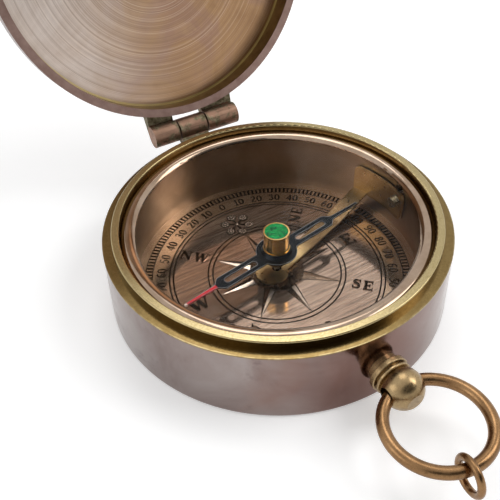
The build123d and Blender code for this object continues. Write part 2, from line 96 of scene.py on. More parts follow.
class Look:
    """A node material with a principled shader, and short ways to add nodes to it."""

    # Places of the colour sockets on a mix node
    MIX_FIRST = 6
    MIX_SECOND = 7
    MIX_RESULT = 2

    def __init__(self, name, metallic=1.0):
        self.material = bpy.data.materials.new(name)
        self.material.use_nodes = True
        self.tree = self.material.node_tree
        self.tree.nodes.clear()
        self.out = self.add("OutputMaterial")
        self.bsdf = self.add("BsdfPrincipled")
        self.tree.links.new(self.bsdf.outputs[0], self.out.inputs[0])
        self.bsdf.inputs["Metallic"].default_value = metallic
        self.coords = self.add("TexCoord").outputs["Object"]

    def add(self, kind):
        """New shader node of a kind."""
        return self.tree.nodes.new("ShaderNode" + kind)

    def give(self, socket, value):
        """Links a socket to a value that varies, or sets it to one that doesn't."""
        if isinstance(value, bpy.types.NodeSocket):
            self.tree.links.new(value, socket)
        elif hasattr(socket.default_value, "__len__") and len(socket.default_value) == 4:
            socket.default_value = (*value, 1.0) if len(value) == 3 else value
        else:
            socket.default_value = value

    def set(self, **inputs):
        """Gives inputs of the principled shader their values, by name."""
        for name, value in inputs.items():
            self.give(self.bsdf.inputs[name.replace("_", " ").title()], value)

    def math(self, operation, a, b=0.0):
        node = self.add("Math")
        node.operation = operation
        self.give(node.inputs[0], a)
        self.give(node.inputs[1], b)
        return node.outputs[0]

    def times(self, a, b):
        return self.math("MULTIPLY", a, b)

    def vector(self, operation, a, b=(0, 0, 0)):
        node = self.add("VectorMath")
        node.operation = operation
        self.give(node.inputs[0], a)
        self.give(node.inputs[1], b)
        return node.outputs["Value" if operation in ("DOT_PRODUCT", "LENGTH") else "Vector"]

    def noise(self, scale, detail=4.0, roughness=0.55, distortion=0.0, vector=None):
        """Cloudy noise: its scale in clouds per metre, its octaves of detail, and how rough those are."""
        node = self.add("TexNoise")
        self.give(node.inputs["Vector"], self.coords if vector is None else vector)
        node.inputs["Scale"].default_value = scale
        node.inputs["Detail"].default_value = detail
        node.inputs["Roughness"].default_value = roughness
        node.inputs["Distortion"].default_value = distortion
        return node.outputs["Fac"]

    def ramp(self, fac, *stops):
        """Colours or grey levels at places along a value."""
        node = self.add("ValToRGB")
        self.give(node.inputs[0], fac)
        elements = node.color_ramp.elements
        while len(elements) < len(stops):
            elements.new(0.5)
        for element, (place, colour) in zip(elements, stops):
            element.position = place
            element.color = (*colour, 1.0) if hasattr(colour, "__len__") else (colour,) * 3 + (1.0,)
        return node.outputs["Color"]

    def tones(self, noise, dark, light):
        """Two tones in the clouds of a noise."""
        return self.ramp(noise, (0.3, dark), (0.7, light))

    def span(self, value, low, high, out_low=0.0, out_high=1.0):
        """Smooth step from out_low to out_high as a value goes from low to high."""
        node = self.add("MapRange")
        node.interpolation_type = "SMOOTHSTEP"
        for socket, number in zip(node.inputs, (value, low, high, out_low, out_high)):
            self.give(socket, number)
        return node.outputs[0]

    def mix(self, share, first, second):
        """Two colours mixed by the share of the second."""
        node = self.add("Mix")
        node.data_type = "RGBA"
        self.give(node.inputs[0], share)
        self.give(node.inputs[self.MIX_FIRST], first)
        self.give(node.inputs[self.MIX_SECOND], second)
        return node.outputs[self.MIX_RESULT]

    def split(self, vector=None):
        node = self.add("SeparateXYZ")
        self.give(node.inputs[0], self.coords if vector is None else vector)
        return node.outputs

    def combine(self, x, y, z):
        node = self.add("CombineXYZ")
        for socket, value in zip(node.inputs, (x, y, z)):
            self.give(socket, value)
        return node.outputs[0]

    def bump(self, height, strength, distance, normal=None):
        """Normal of a surface whose bumps are a distance deep, over another normal if one is given."""
        node = self.add("Bump")
        node.inputs["Strength"].default_value = strength
        node.inputs["Distance"].default_value = distance
        self.give(node.inputs["Height"], height)
        if normal is not None:
            self.give(node.inputs["Normal"], normal)
        return node.outputs[0]

    def radius_about(self, centre, axis):
        """Distance from the line through a centre, given in millimetres; the result is in metres."""
        offset = self.vector("SUBTRACT", self.coords, tuple(Vector(centre) * MM))
        along = self.vector("DOT_PRODUCT", offset, tuple(axis))
        square = self.vector("DOT_PRODUCT", offset, offset)
        return self.math("SQRT", self.math("SUBTRACT", square, self.times(along, along)))


# How deep the bumps of the finishes are
SCRATCH_DEPTH = 0.01 * MM
GRAIN_DEPTH = 0.02 * MM
MOTTLE_DEPTH = 0.03 * MM
SOLDER_DEPTH = 0.1 * MM


def antique(name, light, dark, roughness, scale, spots=0.35):
    """Tarnished brass: two tones in clouds, fine stains, small dents and a smeared gloss."""
    look = Look(name)
    clouds = look.noise(scale, 5.0, 0.6, distortion=0.4)
    tone = look.ramp(clouds, (0.32, dark), (0.68, light))
    stains = look.noise(scale * 7, 4.0, 0.65)
    stain_dark = tuple(channel * 0.45 for channel in dark)
    tone = look.mix(look.span(stains, 0.52, 0.72, 0.0, spots), tone, stain_dark)
    smears = look.noise(scale * 2.2, 6.0, 0.7)
    dents = look.noise(scale * 12, 3.0, 0.6)
    look.set(base_color=tone)
    look.set(roughness=look.span(smears, 0.3, 0.75, roughness * 0.75, roughness * 1.5))
    look.set(normal=look.bump(dents, 0.12, GRAIN_DEPTH))
    return look.material


# Lines per metre along x, y and z: turned about z, or alike every way
TURNED = (3000.0, 3000.0, 250.0)
EVEN = (900.0, 900.0, 900.0)
EVEN_FINE = (2000.0, 2000.0, 2000.0)


def brushed_brass(name, light, dark, roughness, lines_per_metre=TURNED, strength=0.12):
    """Clean metal with fine turned or drawn lines."""
    look = Look(name)
    lines = look.noise(1.0, 4.0, 0.7, vector=look.vector("MULTIPLY", look.coords, lines_per_metre))
    tone = look.tones(look.noise(400.0), dark, light)
    line_dark = tuple(channel * 0.6 for channel in dark)
    tone = look.mix(look.span(lines, 0.5, 0.75, 0.0, 0.35), tone, line_dark)
    look.set(base_color=tone)
    look.set(roughness=look.span(lines, 0.3, 0.7, roughness * 0.7, roughness * 1.4))
    look.set(normal=look.bump(lines, strength, SCRATCH_DEPTH))
    return look.material


# Case: heights and radii between which one finish gives way to the next, and turned lines per metre
SHOULDER_UP = (11.45 * MM, 11.62 * MM)
RIDGE_UP = (12.75 * MM, 12.92 * MM)
EDGE_UP = (11.50 * MM, 11.60 * MM)
EDGE_OUT = (24.80 * MM, 24.90 * MM)
# Reach from the pendant's axis of the red tint and painted shade
TINT_AND_SHADE_IN = (16.0 * MM, 4.0 * MM)
CASE_LINES = 9000.0


def case_material():
    """Polished mauve-brown wall, smudged and with painted shade round the pendant, and yellower shoulder and
    ridge, rubbed along the edge.
    """
    look = Look("case_patina")
    z = look.split()[2]
    radius = look.radius_about((0, 0, 0), UP)
    mauve = ((0.3, (0.180, 0.125, 0.112)), (0.5, (0.255, 0.202, 0.188)), (0.72, (0.315, 0.268, 0.252)))
    warm_brown = (0.235, 0.135, 0.105)
    smudge_dark = (0.12, 0.08, 0.082)
    tint_and_shade_red = (0.175, 0.088, 0.070)
    rubbed_gold = (0.32, 0.25, 0.13)

    tone = look.ramp(look.noise(95.0, 5.0, 0.55, distortion=0.8), *mauve)
    warm = look.noise(48.0, 4.0, 0.55, distortion=0.6)
    tone = look.mix(look.span(warm, 0.48, 0.66, 0.0, 0.6), tone, warm_brown)
    smudge = look.noise(170.0, 6.0, 0.68, distortion=0.25)
    tone = look.mix(look.span(smudge, 0.58, 0.72, 0.0, 0.55), tone, smudge_dark)
    # Darker red round the pendant's axis, at the pendant and at the hinge opposite: partly a tint of the
    # metal, and round the pendant painted reflection and shade of the pendant in the wall
    pendant_axis_reach = look.radius_about((0, 0, PENDANT_Z), (0, 1, 0))
    tone = look.mix(look.span(pendant_axis_reach, *TINT_AND_SHADE_IN, 0.0, 0.75), tone, tint_and_shade_red)

    shoulder = look.span(z, *SHOULDER_UP)
    brown = look.tones(look.noise(2600.0, 5.0, 0.6), (0.17, 0.112, 0.040), (0.23, 0.160, 0.064))
    tone = look.mix(shoulder, tone, brown)
    bright = look.tones(look.noise(4200.0, 5.0, 0.6), (0.345, 0.268, 0.125), (0.455, 0.368, 0.20))
    tone = look.mix(look.span(z, *RIDGE_UP), tone, bright)
    edge = look.times(look.span(z, *EDGE_UP), look.span(radius, *EDGE_OUT))
    rubbed = look.times(edge, look.span(look.noise(500.0, 4.0, 0.7), 0.35, 0.6))
    look.set(base_color=look.mix(rubbed, tone, rubbed_gold))

    gloss = look.span(look.noise(300.0, 6.0, 0.7), 0.3, 0.75, 0.10, 0.24)
    look.set(roughness=look.math("MAXIMUM", gloss, look.times(shoulder, 0.2)))
    turned = look.combine(0.0, look.times(radius, CASE_LINES), look.times(z, CASE_LINES))
    dents = look.bump(look.noise(2500.0, 3.0, 0.6), 0.08, SCRATCH_DEPTH)
    look.set(normal=look.bump(look.noise(1.0, 2.0, 0.6, vector=turned), 0.12, SCRATCH_DEPTH, dents))
    return look.material


# Lid: depths from its rim and radii between which one finish gives way to the next, and lines per metre
RIM_DEPTH = (0.25 * MM, 0.05 * MM)
RIM_OUT = (23.55 * MM, 23.75 * MM)
HOLLOW_IN = (23.85 * MM, 23.74 * MM)
ROOF_DEPTH = (4.0 * MM, 3.8 * MM)
CEILING_DEPTH = (3.1 * MM, 3.4 * MM)
CORNER_OUT = (23.35 * MM, 23.5 * MM)
# Across the lid, where its painted grey highlight gives way to brown, and how far that edge wanders
HIGHLIGHT_ACROSS = (-20 * MM, 3 * MM)
HIGHLIGHT_WANDER = 12 * MM
LID_LINES = 5200.0
LID_LINE_WANDER = 1.2


def lid_material():
    """Turned lines inside, with a painted grey highlight on one side and brown at the other; plain patina
    outside.
    """
    look = Look("lid_patina")
    offset = look.vector("SUBTRACT", look.coords, tuple(LID_CENTRE * MM))
    depth = look.vector("DOT_PRODUCT", offset, tuple(LID_UP))
    radius = look.radius_about(LID_CENTRE, LID_UP)
    browns = (
        (0.3, (0.33, 0.185, 0.095)), (0.46, (0.42, 0.25, 0.13)),
        (0.6, (0.37, 0.22, 0.15)), (0.75, (0.50, 0.32, 0.17)),
    )
    painted_highlight_greys = ((0.3, (0.53, 0.41, 0.335)), (0.55, (0.70, 0.605, 0.545)), (0.75, (0.77, 0.695, 0.645)))
    line_dark = (0.24, 0.155, 0.10)
    line_light = (0.74, 0.61, 0.49)
    corner_gold = (0.62, 0.50, 0.26)

    clouds = look.noise(70.0, 5.0, 0.6, distortion=0.9)
    wander = look.times(look.math("SUBTRACT", look.noise(55.0), 0.5), HIGHLIGHT_WANDER)
    across = look.math("ADD", look.split(offset)[0], wander)
    # Painted highlight: the grey side stands for the sheen of the turned lid
    inside = look.mix(look.span(across, *HIGHLIGHT_ACROSS), look.ramp(clouds, *painted_highlight_greys), look.ramp(clouds, *browns))
    turned = look.combine(look.times(radius, LID_LINES), look.times(look.noise(12.0), LID_LINE_WANDER), 0.0)
    lines = look.noise(1.0, 3.0, 0.75, vector=turned)
    inside = look.mix(look.span(lines, 0.42, 0.68, 0.0, 0.5), inside, line_dark)
    inside = look.mix(look.span(lines, 0.46, 0.32, 0.0, 0.4), inside, line_light)

    wall = look.tones(look.noise(600.0), (0.26, 0.17, 0.07), (0.42, 0.30, 0.13))
    ceiling = look.span(depth, *CEILING_DEPTH)
    hollow = look.mix(ceiling, wall, inside)
    hollow = look.mix(look.times(look.span(radius, *CORNER_OUT), ceiling), hollow, corner_gold)
    outer_clouds = look.noise(95.0, 5.0, 0.55, distortion=0.8)
    outer = look.tones(outer_clouds, (0.21, 0.155, 0.14), (0.32, 0.27, 0.255))
    in_hollow = look.times(look.span(radius, *HOLLOW_IN), look.span(depth, *ROOF_DEPTH))
    tone = look.mix(in_hollow, outer, hollow)
    rim = look.tones(look.noise(500.0, 5.0, 0.6), (0.205, 0.126, 0.105), (0.30, 0.205, 0.175))
    on_rim = look.times(look.span(depth, *RIM_DEPTH), look.span(radius, *RIM_OUT))
    look.set(base_color=look.mix(on_rim, tone, rim))

    look.set(roughness=look.span(look.noise(200.0, 6.0, 0.7), 0.3, 0.75, 0.28, 0.37))
    dents = look.bump(look.noise(2500.0, 3.0, 0.6), 0.08, SCRATCH_DEPTH)
    look.set(normal=look.bump(lines, 0.25, GRAIN_DEPTH, dents))
    return look.material


# Dial: grain lines per metre, and the radius where the outer band begins
GRAIN_ACROSS = 2400.0
GRAIN_ALONG = 90.0
BAND_OUT = (16.55 * MM, 16.75 * MM)


def dial_material():
    """Straight-grained copper, bright enough to mirror the cap, with a plainer outer band."""
    look = Look("dial_copper", metallic=0.85)
    x, y = look.split()[:2]
    grain_turn = radians(DIAL_NORTH)
    grain_dark = (0.17, 0.11, 0.08)
    grain_light = (0.76, 0.61, 0.50)
    across = look.math("ADD", look.times(x, sin(grain_turn)), look.times(y, cos(grain_turn)))
    along = look.math("SUBTRACT", look.times(x, cos(grain_turn)), look.times(y, sin(grain_turn)))
    drawn = look.combine(look.times(across, GRAIN_ACROSS), look.times(along, GRAIN_ALONG), 0.0)
    grain = look.noise(1.0, 6.0, 0.7, vector=drawn)
    clouds = look.noise(140.0, 4.0, 0.6, distortion=0.6)
    tone = look.tones(clouds, (0.385, 0.262, 0.194), (0.52, 0.375, 0.288))
    tone = look.mix(look.span(grain, 0.42, 0.66, 0.0, 0.8), tone, grain_dark)
    tone = look.mix(look.span(grain, 0.42, 0.30, 0.0, 0.55), tone, grain_light)
    band = look.tones(clouds, (0.37, 0.245, 0.16), (0.49, 0.35, 0.25))
    radius = look.radius_about((0, 0, 0), UP)
    look.set(base_color=look.mix(look.span(radius, *BAND_OUT), tone, band))
    look.set(roughness=look.span(grain, 0.3, 0.75, 0.05, 0.17))
    look.set(normal=look.bump(grain, 0.13, GRAIN_DEPTH))
    return look.material


def patina_material():
    """Black wax and tarnish in the engraving."""
    look = Look("engraved_patina")
    tone = look.tones(look.noise(900.0, 4.0, 0.6), (0.010, 0.007, 0.005), (0.032, 0.022, 0.015))
    look.set(base_color=tone, roughness=look.span(look.noise(1500.0), 0.3, 0.7, 0.4, 0.6))
    look.set(normal=look.bump(look.noise(6000.0), 0.2, SCRATCH_DEPTH))
    return look.material


# Sleeve: turned lines per metre up its wall
WALL_LINES = 5200.0


def wall_material():
    """Polished sleeve inside the case, with faint turned lines."""
    look = Look("inner_wall")
    z = look.split()[2]
    line_dark = (0.22, 0.14, 0.08)
    clouds = look.noise(150.0, 5.0, 0.6, distortion=0.6)
    tone = look.tones(clouds, (0.30, 0.225, 0.16), (0.40, 0.315, 0.24))
    lines = look.noise(1.0, 4.0, 0.7, vector=look.combine(0.0, 0.0, look.times(z, WALL_LINES)))
    look.set(base_color=look.mix(look.span(lines, 0.5, 0.75, 0.0, 0.35), tone, line_dark))
    look.set(roughness=look.span(look.noise(260.0, 5.0, 0.7), 0.3, 0.75, 0.285, 0.335))
    look.set(normal=look.bump(lines, 0.02, SCRATCH_DEPTH))
    return look.material


def ring_material():
    """Bright half-round ring over the glass."""
    look = Look("retaining_ring")
    tone = look.tones(look.noise(240.0, 5.0, 0.6), (0.30, 0.21, 0.145), (0.42, 0.32, 0.245))
    look.set(base_color=tone, roughness=look.span(look.noise(500.0, 5.0), 0.3, 0.7, 0.10, 0.16))
    look.set(normal=look.bump(look.noise(3000.0, 3.0), 0.03, SCRATCH_DEPTH))
    return look.material


# Needle: reach from its axis where the red paint begins and where the tip is worn bare
PAINT_FROM = (11.30 * MM, 11.38 * MM)
BARE_FROM = (16.45 * MM, 16.6 * MM)
STEEL_METALLIC = 0.85


def needle_material():
    """Blue-black steel with a red painted end."""
    look = Look("blued_steel", metallic=STEEL_METALLIC)
    bare_tip = (0.72, 0.60, 0.52)
    reach = look.vector("DOT_PRODUCT", look.coords, tuple(toward(NEEDLE_BEARING)))
    steel = look.tones(look.noise(500.0), (0.010, 0.011, 0.013), (0.016, 0.018, 0.021))
    red = look.tones(look.noise(1500.0), (0.38, 0.012, 0.018), (0.55, 0.03, 0.035))
    red = look.mix(look.span(reach, *BARE_FROM), red, bare_tip)
    painted = look.span(reach, *PAINT_FROM)
    look.set(base_color=look.mix(painted, steel, red))
    look.set(metallic=look.math("SUBTRACT", STEEL_METALLIC, look.times(painted, STEEL_METALLIC)))
    look.set(roughness=look.span(look.noise(600.0, 3.0), 0.3, 0.7, 0.28, 0.31))
    look.bsdf.inputs["Specular IOR Level"].default_value = 0.2
    return look.material


def inlay_material():
    """Mottled green stone or enamel in the cap."""
    look = Look("green_inlay", metallic=0.0)
    greens = (
        (0.36, (0.001, 0.03, 0.012)), (0.48, (0.002, 0.15, 0.034)),
        (0.62, (0.004, 0.27, 0.06)), (0.75, (0.015, 0.36, 0.10)),
    )
    mottle = look.noise(1500.0, 5.0, 0.7, distortion=1.0)
    look.set(base_color=look.ramp(mottle, *greens), roughness=0.45)
    look.bsdf.inputs["Specular IOR Level"].default_value = 0.12
    look.set(normal=look.bump(mottle, 0.15, MOTTLE_DEPTH))
    return look.material


# Glass: an index below that of real glass, so that it hardly shifts what it covers
GLASS_IOR = 1.1


def glass_material():
    """Clear glass that lets light through to the dial."""
    look = Look("clear_glass", metallic=0.0)
    look.set(base_color=(0.985, 0.99, 0.985), roughness=0.0, transmission_weight=1.0)
    look.bsdf.inputs["IOR"].default_value = GLASS_IOR
    clear = look.add("BsdfTransparent")
    clear.inputs[0].default_value = (0.93, 0.94, 0.93, 1.0)
    path = look.add("LightPath")
    either = look.add("MixShader")
    look.tree.links.new(path.outputs["Is Shadow Ray"], either.inputs[0])
    look.tree.links.new(look.bsdf.outputs[0], either.inputs[1])
    look.tree.links.new(clear.outputs[0], either.inputs[2])
    look.tree.links.new(either.outputs[0], look.out.inputs[0])
    return look.material


def steel_material():
    """Grey turned steel of the pivot and the washer."""
    look = Look("turned_steel")
    tone = look.tones(look.noise(900.0), (0.30, 0.27, 0.23), (0.52, 0.49, 0.44))
    look.set(base_color=tone, roughness=look.span(look.noise(1600.0), 0.3, 0.7, 0.2, 0.35))
    look.set(normal=look.bump(look.noise(5000.0), 0.1, SCRATCH_DEPTH))
    return look.material


# Lifter: radius and height between which its arm, darkened with painted shade, gives way to the clean ring
# and plate
SHADE_OUT = (4.4 * MM, 7.5 * MM)
SHADE_DOWN = (4.6 * MM, 3.4 * MM)


def lifter_material():
    """Gold sheet brass, darkened along the arm with painted shade and painted dark reflection."""
    look = Look("lifter_brass")
    clouds = look.noise(500.0)
    gold = look.tones(clouds, (0.42, 0.285, 0.13), (0.54, 0.38, 0.185))
    painted_shade_brown = look.tones(clouds, (0.10, 0.060, 0.030), (0.18, 0.112, 0.055))
    along = look.span(look.radius_about((0, 0, 0), UP), *SHADE_OUT)
    flat = look.span(look.split()[2], *SHADE_DOWN)
    # Painted shade: the low outer arm is dark as its shadow and reflection would be
    look.set(base_color=look.mix(look.times(along, flat), gold, painted_shade_brown))
    look.set(roughness=look.span(look.noise(900.0), 0.3, 0.7, 0.26, 0.38))
    look.set(normal=look.bump(look.noise(1400.0, 3.0), 0.03, SCRATCH_DEPTH))
    return look.material


# Hinge: distance from its axis where solder takes over from the barrel, and drawn lines per metre
SOLDER_OUT = (1.70 * MM, 1.95 * MM)
SOLDER_WANDER = 0.25 * MM
BARREL_LINES = (160.0, 2600.0, 2600.0)


def hinge_material():
    """Drawn red-brown barrels, and lumpy grey solder where they meet the lid and the case."""
    look = Look("hinge_brass")
    line_dark = (0.13, 0.078, 0.056)
    painted_highlight_greys = ((0.32, (0.07, 0.055, 0.03)), (0.52, (0.20, 0.17, 0.105)), (0.75, (0.36, 0.32, 0.22)))
    wander = look.span(look.noise(700.0), 0.3, 0.7, -SOLDER_WANDER, SOLDER_WANDER)
    joint = look.span(look.math("ADD", look.radius_about(HINGE, (1, 0, 0)), wander), *SOLDER_OUT)
    drawn = look.noise(1.0, 4.0, 0.7, vector=look.vector("MULTIPLY", look.coords, BARREL_LINES))
    tone = look.tones(look.noise(420.0, 5.0, 0.6), (0.245, 0.145, 0.098), (0.37, 0.228, 0.16))
    tone = look.mix(look.span(drawn, 0.5, 0.72, 0.0, 0.5), tone, line_dark)
    grains = look.noise(1300.0, 5.0, 0.7)
    look.set(base_color=look.mix(joint, tone, look.ramp(grains, *painted_highlight_greys)))
    look.set(roughness=look.math("ADD", look.span(drawn, 0.3, 0.7, 0.42, 0.6), look.times(joint, 0.1)))
    barrel = look.bump(drawn, 0.12, GRAIN_DEPTH)
    look.set(normal=look.bump(look.times(grains, joint), 0.6, SOLDER_DEPTH, barrel))
    return look.material


def jewel_material():
    """Polished dark red stone of the needle's bearing."""
    look = Look("jewel_stone", metallic=0.0)
    look.set(base_color=look.tones(look.noise(1200.0, 3.0), (0.16, 0.01, 0.015), (0.35, 0.03, 0.04)))
    look.set(roughness=0.08, coat_weight=0.5)
    return look.material


COPPER = dial_material()
PATINA = patina_material()
HINGE_BRASS = hinge_material()
NEEDLE = needle_material()
STEEL = steel_material()
STAR = brushed_brass("star_copper", (0.58, 0.465, 0.385), (0.45, 0.34, 0.27), 0.18, EVEN, strength=0.04)
CAP = brushed_brass("cap_brass", (0.86, 0.62, 0.27), (0.66, 0.44, 0.16), 0.18)
# Light grey steel of the needle's edge bead, a painted highlight
RIM_HIGHLIGHT = brushed_brass("needle_edge_highlight", (0.30, 0.31, 0.33), (0.16, 0.165, 0.18), 0.4, EVEN, strength=0.03)
STUD = brushed_brass("stud_brass", (0.36, 0.29, 0.19), (0.22, 0.17, 0.10), 0.28, EVEN_FINE, strength=0.05)
CURL = antique("curl_copper", (0.44, 0.35, 0.285), (0.29, 0.215, 0.165), 0.16, scale=900.0)
BOSS = antique("boss_bronze", (0.13, 0.085, 0.055), (0.06, 0.04, 0.028), 0.22, scale=900.0)
STAR_DARK = antique("star_dark", (0.12, 0.08, 0.056), (0.065, 0.045, 0.032), 0.22, scale=900.0)
BUSH = antique("bush_brass", (0.16, 0.11, 0.055), (0.07, 0.05, 0.03), 0.3, scale=900.0)
PENDANT = antique("pendant_brass", (0.40, 0.288, 0.152), (0.27, 0.182, 0.09), 0.25, scale=480.0)
BOW = antique("bow_brass", (0.30, 0.172, 0.08), (0.20, 0.11, 0.05), 0.26, scale=420.0, spots=0.3)

finishes = {
    "case_body": case_material(), "sleeve": wall_material(), "retaining_ring": ring_material(),
    "glass": glass_material(), "dial_boss": BOSS, "pivot": STEEL,
    "needle": NEEDLE, "needle_collar": NEEDLE, "needle_bush": BUSH,
    "cap": CAP, "cap_inlay": inlay_material(), "jewel": jewel_material(),
    "lifter": lifter_material(), "lock_washer": STEEL, "lid": lid_material(),
    "lid_knuckle_left": HINGE_BRASS, "lid_knuckle_right": HINGE_BRASS,
    "case_knuckle": HINGE_BRASS, "hinge_pin": HINGE_BRASS,
    "pendant_stem": PENDANT, "pendant_collar": PENDANT, "pendant_ball": PENDANT,
    "bow_ring": BOW, "jump_ring": BOW,
}
for name, material in finishes.items():
    nodes[name].data.materials.clear()
    nodes[name].data.materials.append(material)


# Mesh pieces, made in millimetres

def piece(name, mesh, body, materials):
    """Puts a bmesh, in millimetres, into the scene as a piece that rides a body."""
    data = bpy.data.meshes.new(name)
    bmesh.ops.recalc_face_normals(mesh, faces=mesh.faces)
    bmesh.ops.scale(mesh, vec=(MM, MM, MM), verts=mesh.verts)
    mesh.to_mesh(data)
    mesh.free()
    for material in materials:
        data.materials.append(material)
    obj = bpy.data.objects.new(name, data)
    scene.collection.objects.link(obj)
    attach(obj, body)
    return obj


def smooth(obj, angle):
    """Shades a piece smooth, but for edges sharper than an angle in degrees."""
    obj.data.polygons.foreach_set("use_smooth", [True] * len(obj.data.polygons))
    obj.data.set_sharp_from_angle(angle=radians(angle))


def join_rows(mesh, rows):
    """Faces between neighbouring rows, which have equally many points and are closed round an axis."""
    for here, there in zip(rows, rows[1:]):
        for k in range(len(here)):
            following = (k + 1) % len(here)
            mesh.faces.new((here[k], here[following], there[following], there[k]))


def lathe(mesh, profile, turns):
    """Closed profile of (radius, height, material of the face that follows) turned about Z."""
    rings = []
    for i in range(turns):
        out = Vector((sin(TURN * i / turns), cos(TURN * i / turns), 0))
        rings.append([mesh.verts.new(out * radius + UP * height) for radius, height, _ in profile])
    for here, there in zip(rings, rings[1:] + rings[:1]):
        for j, (_, _, material) in enumerate(profile):
            k = (j + 1) % len(profile)
            mesh.faces.new((here[j], here[k], there[k], there[j])).material_index = material


def prism(mesh, outline, low, high, place, material=0):
    """Straight prism over a convex outline of (x, y); place turns (x, y, z) into a point."""
    under = [mesh.verts.new(place(x, y, low)) for x, y in outline]
    over = [mesh.verts.new(place(x, y, high)) for x, y in outline]
    mesh.faces.new(under).material_index = material
    mesh.faces.new(over).material_index = material
    for i in range(len(outline)):
        k = (i + 1) % len(outline)
        mesh.faces.new((under[i], under[k], over[k], over[i])).material_index = material


def strip(mesh, points, widths, low, high, place, side=0):
    """Stroke of changing width along a line of points, as one closed solid with its own side material."""
    sides = []
    for i, (x, y) in enumerate(points):
        x0, y0 = points[max(i - 1, 0)]
        x1, y1 = points[min(i + 1, len(points) - 1)]
        length = hypot(x1 - x0, y1 - y0)
        half = widths[i] / 2
        dx, dy = -(y1 - y0) / length * half, (x1 - x0) / length * half
        ends = ((x + dx, y + dy), (x - dx, y - dy))
        sides.append([[mesh.verts.new(place(*end, height)) for height in (low, high)] for end in ends])
    for (left, right), (next_left, next_right) in zip(sides, sides[1:]):
        mesh.faces.new((left[1], next_left[1], next_right[1], right[1]))
        mesh.faces.new((left[0], right[0], next_right[0], next_left[0])).material_index = side
        mesh.faces.new((left[0], next_left[0], next_left[1], left[1])).material_index = side
        mesh.faces.new((right[0], right[1], next_right[1], next_right[0])).material_index = side
    for left, right in (sides[0], sides[-1]):
        mesh.faces.new((left[0], left[1], right[1], right[0])).material_index = side


# Needle: a fine bead along the edges of its upper face, in light steel as a painted highlight
RIM_R = 0.035
WELD_GAP = 0.002
FLAT_SLOPE = 0.9
SIDE_SLOPE = 0.5


def top_loops(node):
    """Closed runs of points round the upper face of a flat node, in metres."""
    mesh = bmesh.new()
    mesh.from_mesh(node.data)
    bmesh.ops.remove_doubles(mesh, verts=mesh.verts, dist=WELD_GAP * MM)
    mesh.normal_update()
    open_edges = set()
    for edge in mesh.edges:
        slopes = sorted(face.normal.z for face in edge.link_faces)
        if len(slopes) == 2 and slopes[0] < SIDE_SLOPE and slopes[1] > FLAT_SLOPE:
            open_edges.add(edge)
    loops = []
    while open_edges:
        run = list(open_edges.pop().verts)
        while ways := [edge for edge in run[-1].link_edges if edge in open_edges]:
            open_edges.remove(ways[0])
            run.append(ways[0].other_vert(run[-1]))
        if run[0] == run[-1]:
            run.pop()
        loops.append([vert.co.copy() for vert in run])
    mesh.free()
    return loops


rim_curve = bpy.data.curves.new("needle_rim", "CURVE")
rim_curve.dimensions = "3D"
rim_curve.bevel_depth = RIM_R * MM
rim_curve.bevel_resolution = 2
for loop in top_loops(nodes["needle"]):
    spline = rim_curve.splines.new("POLY")
    spline.points.add(len(loop) - 1)
    for point, place in zip(spline.points, loop):
        point.co = (*place, 1.0)
    spline.use_cyclic_u = True
rim_curve.materials.append(RIM_HIGHLIGHT)
rim = bpy.data.objects.new("needle_rim", rim_curve)
scene.collection.objects.link(rim)
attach(rim, "needle")

# Dial plate with its engraved circles
ROSE_CIRCLES = (9.9, 10.62, 16.0, 16.62)
SCALE_CIRCLES = (19.3, 20.4)
GROOVE_W = 0.24
FINE_GROOVE_W = 0.16
GROOVE_D = 0.06
PLATE_TURNS = 300
circles = [(radius, GROOVE_W) for radius in ROSE_CIRCLES]
circles += [(radius, FINE_GROOVE_W) for radius in SCALE_CIRCLES]
profile = [(PIVOT_R, DIAL_LOW, 0), (PIVOT_R, DIAL_TOP, 0)]
for radius, width in circles:
    profile += [
        (radius - width / 2, DIAL_TOP, 1),
        (radius - width / 6, DIAL_TOP - GROOVE_D, 1),
        (radius + width / 6, DIAL_TOP - GROOVE_D, 1),
        (radius + width / 2, DIAL_TOP, 0),
    ]
profile += [(DIAL_R, DIAL_TOP, 0), (DIAL_R, DIAL_LOW, 0)]
plate = bmesh.new()
lathe(plate, profile, PLATE_TURNS)
dial = piece("dial_plate", plate, "case", [COPPER, PATINA])
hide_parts("dial")
smooth(dial, 20.0)


def on_dial(bearing, radius, turn=0.0):
    """Placer for flat work on the dial: x to the right and y outward, after a turn about its middle."""
    out = toward(bearing + DIAL_NORTH)
    right = toward(bearing + DIAL_NORTH + 90)
    turn_cos, turn_sin = cos(radians(turn)), sin(radians(turn))

    def place(x, y, z):
        across = x * turn_cos - y * turn_sin
        outward = x * turn_sin + y * turn_cos
        return out * (radius + outward) + right * across + UP * z

    return place


# Two-degree ladder: dark gaps between bright bars
INK_LOW = DIAL_TOP - 0.05
INK_HIGH = DIAL_TOP + 0.006
LADDER_STEP = 2
LADDER_R = sum(SCALE_CIRCLES) / 2
GAP_HALF_W = 0.17
GAP_HALF_L = 0.53
gap_outline = [
    (-GAP_HALF_W, -GAP_HALF_L), (GAP_HALF_W, -GAP_HALF_L),
    (GAP_HALF_W, GAP_HALF_L), (-GAP_HALF_W, GAP_HALF_L),
]
ladder = bmesh.new()
for i in range(360 // LADDER_STEP):
    prism(ladder, gap_outline, INK_LOW, INK_HIGH, on_dial(LADDER_STEP * (i + 0.5), LADDER_R))
piece("dial_ladder", ladder, "case", [PATINA])

# Strokes of the figures and letters, as points and widths in a box one unit high
BOWL_STEPS = 16
BOWL_THIN = 0.10
BOWL_SWELL = 0.09


def bowl(x, y, half_w, half_h):
    """Closed oval, thin at top and bottom and thick at its sides."""
    turns = [TURN * i / BOWL_STEPS for i in range(BOWL_STEPS + 1)]
    points = [(x - half_w * sin(turn), y + half_h * cos(turn)) for turn in turns]
    return points, [BOWL_THIN + BOWL_SWELL * abs(sin(turn)) for turn in turns]


